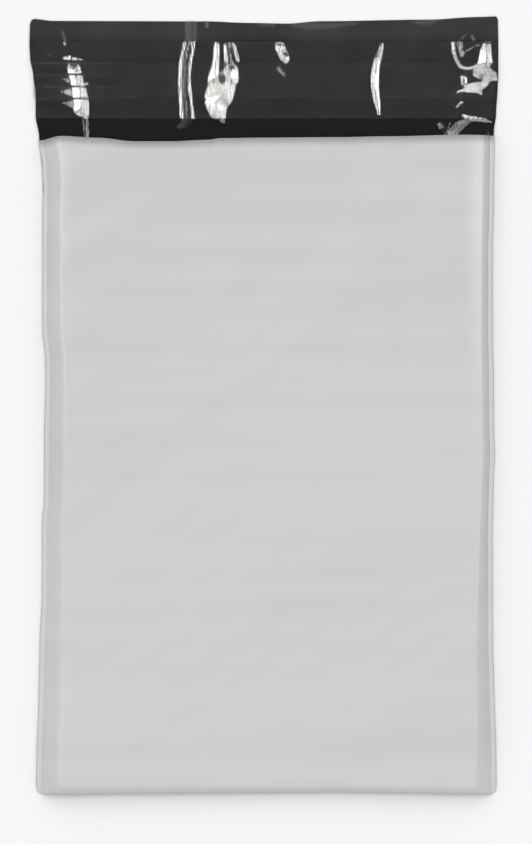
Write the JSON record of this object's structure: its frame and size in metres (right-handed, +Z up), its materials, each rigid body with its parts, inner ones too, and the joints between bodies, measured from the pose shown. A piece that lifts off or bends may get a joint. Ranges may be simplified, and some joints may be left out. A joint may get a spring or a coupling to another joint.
{
  "type": "poly mailer bag",
  "caption": "Flat polyethylene mailing bag with side-welded pocket, open flap, adhesive strip and clear release liner.",
  "frame": {"origin": "middle of the footprint, on the surface that the bag lies on", "axes": "+Z up out of the front panel, +Y from the bottom fold towards the flap, +X to the right seen from above"},
  "size_m": [0.1591, 0.2649, 0.006],
  "materials": {
    "film": "satin pale grey outside, glossy black inside",
    "adhesive": "glossy, translucent",
    "liner": "clear and glossy"
  },
  "bodies": {
    "root": {"film_bag": "film", "adhesive_strip": "adhesive", "release_liner": "liner"}
  },
  "joints": []
}
